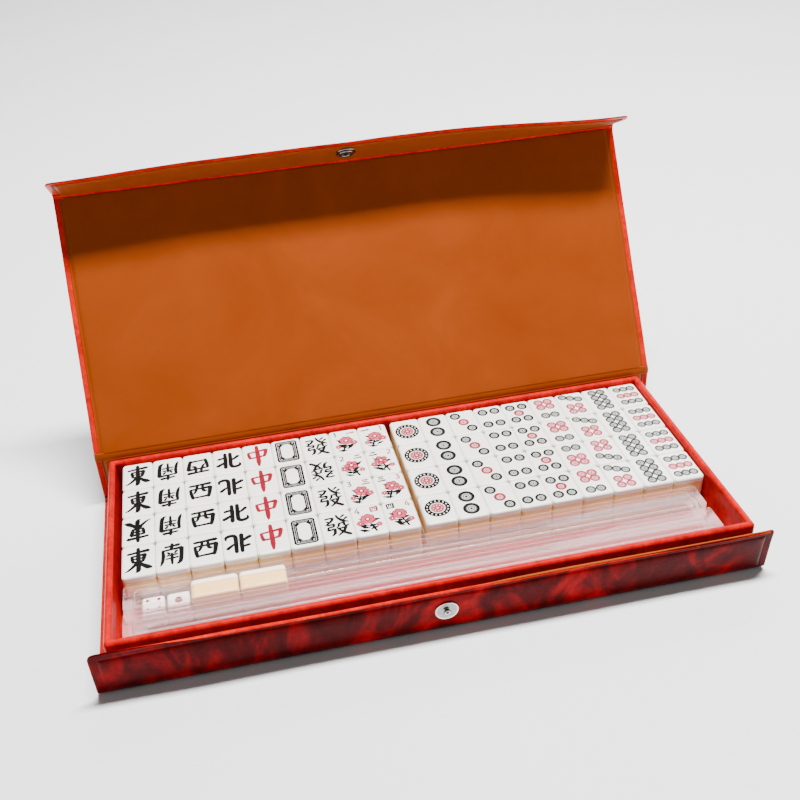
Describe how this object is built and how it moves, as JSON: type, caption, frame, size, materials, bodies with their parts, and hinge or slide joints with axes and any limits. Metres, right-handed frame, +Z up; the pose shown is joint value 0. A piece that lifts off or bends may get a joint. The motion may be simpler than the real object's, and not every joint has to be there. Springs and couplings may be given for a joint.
{
  "type": "mahjong case",
  "caption": "Folding leatherette travel case for mahjong, open on its tray of tiles, clear racks and dice; a bent flap on the lid closes on the front with a press stud.",
  "frame": {"origin": "centre of the case's underside, on the surface it lies on", "axes": "+X along the case to the right, +Y to the back where the lid is hinged, +Z up"},
  "size_m": [0.3558, 0.2458, 0.1879],
  "materials": {
    "red_leatherette": "satin",
    "orange_lining": "satin",
    "tray_leatherette": "satin",
    "grey_board": "matte",
    "clear_plastic": "gloss",
    "tile_plastic": "gloss",
    "dice_plastic": "gloss",
    "steel": "polished"
  },
  "bodies": {
    "base": {"base_skin": "red_leatherette", "base_board": "grey_board", "base_lining": "orange_lining", "rear_crease": "red_leatherette", "front_crease": "red_leatherette", "tray_floor": "tray_leatherette", "tray_front_board": "grey_board", "tray_back_board": "grey_board", "tray_left_board": "grey_board", "tray_right_board": "grey_board", "tray_cover": "tray_leatherette"},
    "spine": {"spine_skin": "red_leatherette", "spine_board": "grey_board", "spine_lining": "orange_lining", "lid_crease": "red_leatherette"},
    "lid": {"lid_skin": "red_leatherette", "lid_board": "grey_board", "lid_lining": "orange_lining", "flap_crease": "red_leatherette"},
    "lid_flap": {"lid_flap_skin": "red_leatherette", "lid_flap_board": "grey_board", "lid_flap_lining": "orange_lining", "snap_cap": "steel", "snap_socket": "steel", "snap_spring": "steel"},
    "front_flap": {"front_flap_skin": "red_leatherette", "front_flap_board": "grey_board", "front_flap_lining": "orange_lining", "snap_stud": "steel", "snap_rivet": "steel"},
    "left_lower_layer": {"character_tiles": "tile_plastic"},
    "left_upper_layer": {"east_tiles": "tile_plastic", "south_tiles": "tile_plastic", "west_tiles": "tile_plastic", "north_tiles": "tile_plastic", "red_dragon_tiles": "tile_plastic", "white_dragon_tiles": "tile_plastic", "green_dragon_tiles": "tile_plastic", "flower_tiles": "tile_plastic", "season_tiles": "tile_plastic"},
    "right_lower_layer": {"bamboo_tiles": "tile_plastic"},
    "right_upper_layer": {"dot_one_tiles": "tile_plastic", "dot_two_tiles": "tile_plastic", "dot_three_tiles": "tile_plastic", "dot_four_tiles": "tile_plastic", "dot_five_tiles": "tile_plastic", "dot_six_tiles": "tile_plastic", "dot_seven_tiles": "tile_plastic", "dot_eight_tiles": "tile_plastic", "dot_nine_tiles": "tile_plastic"},
    "rear_lower_rack": {"rear_lower_rack": "clear_plastic"},
    "spare_pieces": {"dice": "dice_plastic", "blank_tiles": "tile_plastic"},
    "rear_upper_rack": {"rear_upper_rack": "clear_plastic"},
    "front_lower_rack": {"front_lower_rack": "clear_plastic"},
    "front_upper_rack": {"front_upper_rack": "clear_plastic"}
  },
  "joints": [
    {"name": "spine_fold", "type": "hinge", "parent": "base", "child": "spine", "pos_m": [0, 0.07755, 0.0012], "axis": [1, 0, 0], "range_deg": [-60, 0]},
    {"name": "lid_fold", "type": "hinge", "parent": "spine", "child": "lid", "pos_m": [0, 0.07755, 0.0334], "axis": [-1, 0, 0], "range_deg": [-122, 58]},
    {"name": "lid_flap_fold", "type": "hinge", "parent": "lid", "child": "lid_flap", "pos_m": [0, 0.16239, 0.16917], "axis": [-1, 0, 0], "range_deg": [-8, 82]},
    {"name": "front_flap_fold", "type": "hinge", "parent": "base", "child": "front_flap", "pos_m": [0, -0.07755, 0.0012], "axis": [1, 0, 0], "range_deg": [-5, 75]},
    {"name": "left_lower_lift", "type": "slide", "parent": "base", "child": "left_lower_layer", "axis": [0, 0, 1], "range_m": [0, 0.04]},
    {"name": "left_upper_lift", "type": "slide", "parent": "left_lower_layer", "child": "left_upper_layer", "axis": [0, 0, 1], "range_m": [0, 0.03]},
    {"name": "right_lower_lift", "type": "slide", "parent": "base", "child": "right_lower_layer", "axis": [0, 0, 1], "range_m": [0, 0.04]},
    {"name": "right_upper_lift", "type": "slide", "parent": "right_lower_layer", "child": "right_upper_layer", "axis": [0, 0, 1], "range_m": [0, 0.03]},
    {"name": "rear_lower_rack_lift", "type": "slide", "parent": "base", "child": "rear_lower_rack", "axis": [0, 0, 1], "range_m": [0, 0.04]},
    {"name": "spare_pieces_lift", "type": "slide", "parent": "rear_lower_rack", "child": "spare_pieces", "axis": [0, 0, 1], "range_m": [0, 0.02]},
    {"name": "rear_upper_rack_lift", "type": "slide", "parent": "spare_pieces", "child": "rear_upper_rack", "axis": [0, 0, 1], "range_m": [0, 0.025]},
    {"name": "front_lower_rack_lift", "type": "slide", "parent": "base", "child": "front_lower_rack", "axis": [0, 0, 1], "range_m": [0, 0.04]},
    {"name": "front_upper_rack_lift", "type": "slide", "parent": "front_lower_rack", "child": "front_upper_rack", "axis": [0, 0, 1], "range_m": [0, 0.025]}
  ]
}
